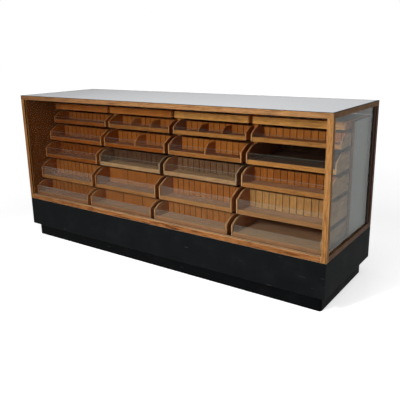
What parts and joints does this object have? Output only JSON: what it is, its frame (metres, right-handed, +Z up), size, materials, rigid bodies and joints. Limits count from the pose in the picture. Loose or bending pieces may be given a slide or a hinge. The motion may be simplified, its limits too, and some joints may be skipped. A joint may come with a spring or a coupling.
{
  "type": "shop counter display case",
  "caption": "Long shop counter on a recessed black plinth, with an oak frame, glass front and side, and glass-fronted drawers that pull out at the back.",
  "frame": {"origin": "middle of the footprint, on the floor", "axes": "+X along the counter to its glazed end, -Y towards the customer, +Y towards the shopkeeper, +Z up"},
  "size_m": [2, 0.6, 0.897],
  "materials": {
    "honey_oak": "satin varnished oak",
    "drawer_wood": "satin varnished hardwood, orange brown",
    "greyed_drawer_wood": "dull greyed hardwood",
    "black_paint": "satin black painted wood",
    "grey_sheet": "semi-gloss pale grey sheet on a wooden board",
    "glass": "clear float glass"
  },
  "bodies": {
    "case": {"plinth_box": "black_paint", "toe_kick": "black_paint", "case_floor": "drawer_wood", "top_frame": "honey_oak", "top_panel": "grey_sheet", "sill": "honey_oak", "right_stile": "honey_oak", "right_bottom_rail": "honey_oak", "rear_right_post": "honey_oak", "left_panel": "honey_oak", "front_glass": "glass", "side_glass": "glass", "upright_1": "drawer_wood", "upright_2": "drawer_wood", "upright_3": "drawer_wood", "right_end": "drawer_wood"},
    "drawer_body_r1c1": {"drawer_r1c1": "drawer_wood", "drawer_glass_r1c1": "glass"},
    "drawer_body_r1c2": {"drawer_r1c2": "drawer_wood", "drawer_glass_r1c2": "glass"},
    "drawer_body_r1c3": {"drawer_r1c3": "drawer_wood", "drawer_glass_r1c3": "glass"},
    "drawer_body_r1c4": {"drawer_r1c4": "drawer_wood", "drawer_glass_r1c4": "glass"},
    "drawer_body_r2c1": {"drawer_r2c1": "drawer_wood", "drawer_glass_r2c1": "glass"},
    "drawer_body_r2c2": {"drawer_r2c2": "drawer_wood", "drawer_glass_r2c2": "glass"},
    "drawer_body_r2c3": {"drawer_r2c3": "drawer_wood", "drawer_glass_r2c3": "glass"},
    "drawer_body_r2c4": {"drawer_r2c4": "drawer_wood", "drawer_glass_r2c4": "glass"},
    "drawer_body_r3c1": {"drawer_r3c1": "drawer_wood", "drawer_glass_r3c1": "glass"},
    "drawer_body_r3c2": {"drawer_r3c2": "greyed_drawer_wood", "drawer_glass_r3c2": "glass"},
    "drawer_body_r3c3": {"drawer_r3c3": "greyed_drawer_wood", "drawer_glass_r3c3": "glass"},
    "drawer_body_r3c4": {"drawer_r3c4": "drawer_wood", "drawer_glass_r3c4": "glass"},
    "drawer_body_r4c1": {"drawer_r4c1": "drawer_wood", "drawer_glass_r4c1": "glass"},
    "drawer_body_r4c2": {"drawer_r4c2": "drawer_wood", "drawer_glass_r4c2": "glass"},
    "drawer_body_r4c3": {"drawer_r4c3": "drawer_wood", "drawer_glass_r4c3": "glass"},
    "drawer_body_r4c4": {"drawer_r4c4": "drawer_wood", "drawer_glass_r4c4": "glass"},
    "drawer_body_r5c1": {"drawer_r5c1": "drawer_wood", "drawer_glass_r5c1": "glass"},
    "drawer_body_r5c2": {"drawer_r5c2": "drawer_wood", "drawer_glass_r5c2": "glass"},
    "drawer_body_r5c3": {"drawer_r5c3": "drawer_wood", "drawer_glass_r5c3": "glass"},
    "drawer_body_r5c4": {"drawer_r5c4": "drawer_wood", "drawer_glass_r5c4": "glass"},
    "slide_body_c1": {"slide_c1": "drawer_wood"},
    "slide_body_c2": {"slide_c2": "drawer_wood"},
    "slide_body_c3": {"slide_c3": "drawer_wood"},
    "slide_body_c4": {"slide_c4": "drawer_wood"}
  },
  "joints": [
    {"name": "drawer_slide_r1c1", "type": "slide", "parent": "case", "child": "drawer_body_r1c1", "axis": [0, 1, 0], "range_m": [0, 0.202]},
    {"name": "drawer_slide_r1c2", "type": "slide", "parent": "case", "child": "drawer_body_r1c2", "axis": [0, 1, 0], "range_m": [0, 0.202]},
    {"name": "drawer_slide_r1c3", "type": "slide", "parent": "case", "child": "drawer_body_r1c3", "axis": [0, 1, 0], "range_m": [0, 0.202]},
    {"name": "drawer_slide_r1c4", "type": "slide", "parent": "case", "child": "drawer_body_r1c4", "axis": [0, 1, 0], "range_m": [0, 0.202]},
    {"name": "drawer_slide_r2c1", "type": "slide", "parent": "case", "child": "drawer_body_r2c1", "axis": [0, 1, 0], "range_m": [0, 0.248]},
    {"name": "drawer_slide_r2c2", "type": "slide", "parent": "case", "child": "drawer_body_r2c2", "axis": [0, 1, 0], "range_m": [0, 0.248]},
    {"name": "drawer_slide_r2c3", "type": "slide", "parent": "case", "child": "drawer_body_r2c3", "axis": [0, 1, 0], "range_m": [0, 0.248]},
    {"name": "drawer_slide_r2c4", "type": "slide", "parent": "case", "child": "drawer_body_r2c4", "axis": [0, 1, 0], "range_m": [0, 0.248]},
    {"name": "drawer_slide_r3c1", "type": "slide", "parent": "case", "child": "drawer_body_r3c1", "axis": [0, 1, 0], "range_m": [0, 0.294]},
    {"name": "drawer_slide_r3c2", "type": "slide", "parent": "case", "child": "drawer_body_r3c2", "axis": [0, 1, 0], "range_m": [0, 0.294]},
    {"name": "drawer_slide_r3c3", "type": "slide", "parent": "case", "child": "drawer_body_r3c3", "axis": [0, 1, 0], "range_m": [0, 0.294]},
    {"name": "drawer_slide_r3c4", "type": "slide", "parent": "case", "child": "drawer_body_r3c4", "axis": [0, 1, 0], "range_m": [0, 0.294]},
    {"name": "drawer_slide_r4c1", "type": "slide", "parent": "case", "child": "drawer_body_r4c1", "axis": [0, 1, 0], "range_m": [0, 0.34]},
    {"name": "drawer_slide_r4c2", "type": "slide", "parent": "case", "child": "drawer_body_r4c2", "axis": [0, 1, 0], "range_m": [0, 0.34]},
    {"name": "drawer_slide_r4c3", "type": "slide", "parent": "case", "child": "drawer_body_r4c3", "axis": [0, 1, 0], "range_m": [0, 0.34]},
    {"name": "drawer_slide_r4c4", "type": "slide", "parent": "case", "child": "drawer_body_r4c4", "axis": [0, 1, 0], "range_m": [0, 0.34]},
    {"name": "drawer_slide_r5c1", "type": "slide", "parent": "case", "child": "drawer_body_r5c1", "axis": [0, 1, 0], "range_m": [0, 0.386]},
    {"name": "drawer_slide_r5c2", "type": "slide", "parent": "case", "child": "drawer_body_r5c2", "axis": [0, 1, 0], "range_m": [0, 0.386]},
    {"name": "drawer_slide_r5c3", "type": "slide", "parent": "case", "child": "drawer_body_r5c3", "axis": [0, 1, 0], "range_m": [0, 0.386]},
    {"name": "drawer_slide_r5c4", "type": "slide", "parent": "case", "child": "drawer_body_r5c4", "axis": [0, 1, 0], "range_m": [0, 0.386]},
    {"name": "slide_pull_c1", "type": "slide", "parent": "case", "child": "slide_body_c1", "axis": [0, 1, 0], "range_m": [0, 0.182]},
    {"name": "slide_pull_c2", "type": "slide", "parent": "case", "child": "slide_body_c2", "axis": [0, 1, 0], "range_m": [0, 0.182]},
    {"name": "slide_pull_c3", "type": "slide", "parent": "case", "child": "slide_body_c3", "axis": [0, 1, 0], "range_m": [0, 0.182]},
    {"name": "slide_pull_c4", "type": "slide", "parent": "case", "child": "slide_body_c4", "axis": [0, 1, 0], "range_m": [0, 0.182]}
  ]
}
